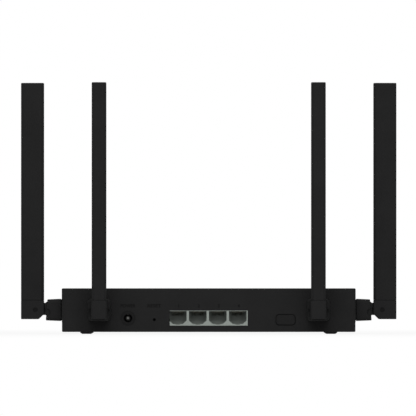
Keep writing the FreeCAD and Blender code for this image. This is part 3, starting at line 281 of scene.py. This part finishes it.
BLACK = (0.0132, 0.0132, 0.0133)
FINISHES = {
    "housing_plastic": moulded_plastic("housing_plastic", BLACK, 0.68, 0.035),
    "panel_plastic": moulded_plastic("panel_plastic", shade(BLACK, 0.9), 0.55, 0.08, grain=0.6*MM),
    "antenna_plastic": moulded_plastic("antenna_plastic", shade(BLACK, 0.93), 0.68, 0.035,
                                       grain=0.35*MM),
    # button a little darker than the housing's black: painted shade that keeps the proud button as dark
    # as the wall
    "button_plastic": moulded_plastic("button_plastic", shade(BLACK, 0.92), 0.68, 0.035,
                                      grain=0.35*MM),
    "port_plastic": moulded_plastic("port_plastic", (0.207, 0.229, 0.21), 0.5, 0.25, grain=0.3*MM,
                                    grain_height=0.006*MM, mottling=0.04),
    "jack_plastic": moulded_plastic("jack_plastic", shade(BLACK, 0.66), 0.6, 0.04, grain=0.3*MM,
                                    grain_height=0.006*MM),
    "chip_plastic": moulded_plastic("chip_plastic", (0.02, 0.02, 0.021), 0.5, 0.3, grain=0.2*MM,
                                    grain_height=0.005*MM),
    "ferrite": moulded_plastic("ferrite", (0.06, 0.06, 0.065), 0.6, 0.3, grain=0.25*MM),
    "sleeve": moulded_plastic("sleeve", (0.03, 0.03, 0.05), 0.3, 0.5, grain=0.8*MM,
                              grain_height=0.004*MM),
    "cable": moulded_plastic("cable", (0.02, 0.02, 0.02), 0.35, 0.5, grain=0.5*MM,
                             grain_height=0.004*MM),
    "rubber": rubber("rubber", (0.012, 0.012, 0.012)),
    "steel": plated_metal("steel", (0.5, 0.5, 0.5), 0.35),
    # contacts coloured far darker than gold plating: painted shade of the deep socket
    "contact_metal": plated_metal("contact_metal", (0.13, 0.112, 0.077), 0.4, stretch=(1.0, 0.1, 1.0)),
    "dark_steel": plated_metal("dark_steel", (0.008, 0.008, 0.008), 0.45),
    # pin_metal: the first colour is painted shade on the flank, the second a painted highlight at the
    # axis
    "pin_metal": painted_highlight_pin("pin_metal", (0.014, 0.014, 0.013), (0.092, 0.092, 0.089), "power_jack_pin"),
    "aluminium": plated_metal("aluminium", (0.55, 0.56, 0.57), 0.4, stretch=(1.0, 0.08, 1.0)),
    "can_metal": plated_metal("can_metal", (0.6, 0.6, 0.58), 0.3, stretch=(0.1, 1.0, 1.0)),
    "board": solder_mask("board", (0.010, 0.085, 0.038), (0.02, 0.15, 0.055)),
    "light_plastic": clear_plastic("light_plastic", (0.75, 0.78, 0.75), 0.3, 0.5),
    "led": clear_plastic("led", (0.8, 0.8, 0.7), 0.2, 0.3),
    "label": paper_label("label", (0.45, 0.45, 0.45)),
}
MARKING = moulded_plastic("marking", shade(BLACK, 0.35), 0.7, 0.02, grain=0.3*MM, grain_height=0.004*MM)


def finish_nodes():
    """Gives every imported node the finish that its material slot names."""
    slot_of = {part["node"]: part["material_slot"] for part in frame["record"]["subparts"]}
    for node, piece in frame["nodes"].items():
        piece.data.materials.clear()
        piece.data.materials.append(FINISHES[slot_of[node]])


# ---- words ----
def word(name, text, x, width=None):
    """A word printed on the rear wall, its middle at x, in letters of the shared height.

    Without a width the letters keep their own proportions.
    """
    curve = bpy.data.curves.new(name, "FONT")
    curve.body = text
    curve.extrude = LETTER_EXTRUSION
    curve.offset = LETTER_BOLDER
    letters = bpy.data.objects.new(name, curve)
    bpy.context.scene.collection.objects.link(letters)
    bpy.context.view_layer.update()
    mesh = bpy.data.meshes.new_from_object(letters.evaluated_get(bpy.context.evaluated_depsgraph_get()))
    bpy.data.objects.remove(letters)
    low = Vector([min(v.co[axis] for v in mesh.vertices) for axis in range(3)])
    high = Vector([max(v.co[axis] for v in mesh.vertices) for axis in range(3)])
    middle = (low + high)/2
    size = high - low
    wall_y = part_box("upper_housing")[0].y
    rise = WORD_HEIGHT/size.y
    scale = Matrix.Diagonal((width/size.x if width else rise, rise, WORD_THICKNESS/size.z, 1.0))
    stand = Matrix.Rotation(math.radians(90), 4, "X")
    place = Matrix.Translation((x, wall_y - WORD_THICKNESS/2 + WORD_SUNK, WORD_Z))
    mesh.transform(place @ stand @ scale @ Matrix.Translation(-middle))
    mesh.name = name
    mesh.materials.clear()
    mesh.materials.append(MARKING)
    piece = bpy.data.objects.new(name, mesh)
    bpy.context.scene.collection.objects.link(piece)
    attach(piece, "router_body")


def middle_x(node):
    """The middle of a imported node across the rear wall."""
    low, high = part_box(node)
    return (low.x + high.x)/2


def add_words():
    """POWER over the inlet, RESET over the pinhole and a digit over each socket."""
    word("word_power", "POWER", middle_x("power_jack"), WORD_POWER_WIDTH)
    word("word_reset", "RESET", middle_x("reset_switch_plunger"), WORD_RESET_WIDTH)
    for index in range(SOCKET_COUNT):
        x = SOCKET_PITCH*(index - (SOCKET_COUNT - 1)/2)
        word(f"digit_{index + 1}", str(index + 1), x)


# ---- studio ----
def floor_material():
    """White where it is seen; near the object a small share of it is lit paper that takes the shadow."""
    material = bpy.data.materials.new("floor_paper")
    material.use_nodes = True
    tree = material.node_tree
    tree.nodes.remove(tree.nodes["Principled BSDF"])
    bounce = tree.nodes.new("ShaderNodeBsdfDiffuse")
    bounce.inputs["Color"].default_value = (PAPER_BOUNCE, PAPER_BOUNCE, PAPER_BOUNCE, 1.0)
    paper = tree.nodes.new("ShaderNodeBsdfDiffuse")
    paper.inputs["Color"].default_value = (PAPER_SEEN, PAPER_SEEN, PAPER_SEEN, 1.0)
    white = tree.nodes.new("ShaderNodeEmission")
    distance = tree.nodes.new("ShaderNodeVectorMath")
    distance.operation = "LENGTH"
    tree.links.new(tree.nodes.new("ShaderNodeNewGeometry").outputs["Position"], distance.inputs[0])
    share = spread_value(tree, distance.outputs["Value"], SHADOW_SHARE, 0.0, SHADOW_NEAR, SHADOW_FAR)
    seen = tree.nodes.new("ShaderNodeMixShader")
    tree.links.new(share, seen.inputs["Fac"])
    tree.links.new(white.outputs["Emission"], seen.inputs[1])
    tree.links.new(paper.outputs["BSDF"], seen.inputs[2])
    final = tree.nodes.new("ShaderNodeMixShader")
    tree.links.new(seen_by_eye_or_gloss(tree), final.inputs["Fac"])
    tree.links.new(bounce.outputs["BSDF"], final.inputs[1])
    tree.links.new(seen.outputs["Shader"], final.inputs[2])
    tree.links.new(final.outputs["Shader"], tree.nodes["Material Output"].inputs["Surface"])
    return material


def seen_by_eye_or_gloss(tree):
    """1 for rays from the camera, from a glossy surface or through a clear one, and 0 for the rest."""
    path = tree.nodes.new("ShaderNodeLightPath")
    first = tree.nodes.new("ShaderNodeMath")
    first.operation = "MAXIMUM"
    tree.links.new(path.outputs["Is Camera Ray"], first.inputs[0])
    tree.links.new(path.outputs["Is Glossy Ray"], first.inputs[1])
    second = tree.nodes.new("ShaderNodeMath")
    second.operation = "MAXIMUM"
    tree.links.new(first.outputs["Value"], second.inputs[0])
    tree.links.new(path.outputs["Is Transmission Ray"], second.inputs[1])
    return second.outputs["Value"]


def add_floor():
    """A wide floor at z = 0."""
    mesh = bpy.data.meshes.new("floor")
    shape = bmesh.new()
    bmesh.ops.create_grid(shape, x_segments=FLOOR_CELLS, y_segments=FLOOR_CELLS, size=FLOOR_HALF_SIZE)
    shape.to_mesh(mesh)
    shape.free()
    mesh.materials.append(floor_material())
    floor = bpy.data.objects.new("floor", mesh)
    bpy.context.scene.collection.objects.link(floor)


def set_world():
    """A white background where it is seen, and a weaker even light for everything else."""
    world = bpy.data.worlds.new("studio")
    world.use_nodes = True
    tree = world.node_tree
    background = tree.nodes["Background"]
    background.inputs["Color"].default_value = (1.0, 1.0, 1.0, 1.0)
    strength = spread_value(tree, seen_by_eye_or_gloss(tree), WORLD_AMBIENT, WORLD_SEEN, 0.0, 1.0)
    tree.links.new(strength, background.inputs["Strength"])
    bpy.context.scene.world = world


def soft_light(name, place, target, size, power):
    """A rectangular lamp that faces the target."""
    lamp = bpy.data.lights.new(name, "AREA")
    lamp.shape = "RECTANGLE"
    lamp.size, lamp.size_y = size
    lamp.energy = power
    light = bpy.data.objects.new(name, lamp)
    bpy.context.scene.collection.objects.link(light)
    light.location = place
    light.rotation_euler = (Vector(target) - Vector(place)).to_track_quat("-Z", "Y").to_euler()


def add_lights():
    """One large light in front of the connector face and one above it."""
    target = (0.0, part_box("upper_housing")[0].y, LIGHT_TARGET_Z)
    soft_light("front_light", FRONT_LIGHT_PLACE, target, FRONT_LIGHT_SIZE, FRONT_LIGHT_POWER)
    soft_light("top_light", TOP_LIGHT_PLACE, target, TOP_LIGHT_SIZE, TOP_LIGHT_POWER)


def add_camera():
    """A long lens far from the connector face, which it sees nearly square on."""
    wall_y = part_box("upper_housing")[0].y
    distance = CAMERA_LENS/CAMERA_SENSOR*VIEW_WIDTH
    lens = bpy.data.cameras.new("camera")
    lens.lens = CAMERA_LENS
    lens.sensor_width = CAMERA_SENSOR
    lens.clip_end = CAMERA_REACH
    camera = bpy.data.objects.new("camera", lens)
    bpy.context.scene.collection.objects.link(camera)
    camera.location = (VIEW_CENTRE_X, wall_y - distance, CAMERA_HEIGHT)
    aim = Vector((VIEW_CENTRE_X, wall_y, VIEW_CENTRE_Z))
    camera.rotation_euler = (aim - camera.location).to_track_quat("-Z", "Y").to_euler()
    bpy.context.scene.camera = camera


finish_nodes()
add_words()
add_floor()
set_world()
add_lights()
add_camera()
bpy.context.scene.view_settings.view_transform = "Standard"
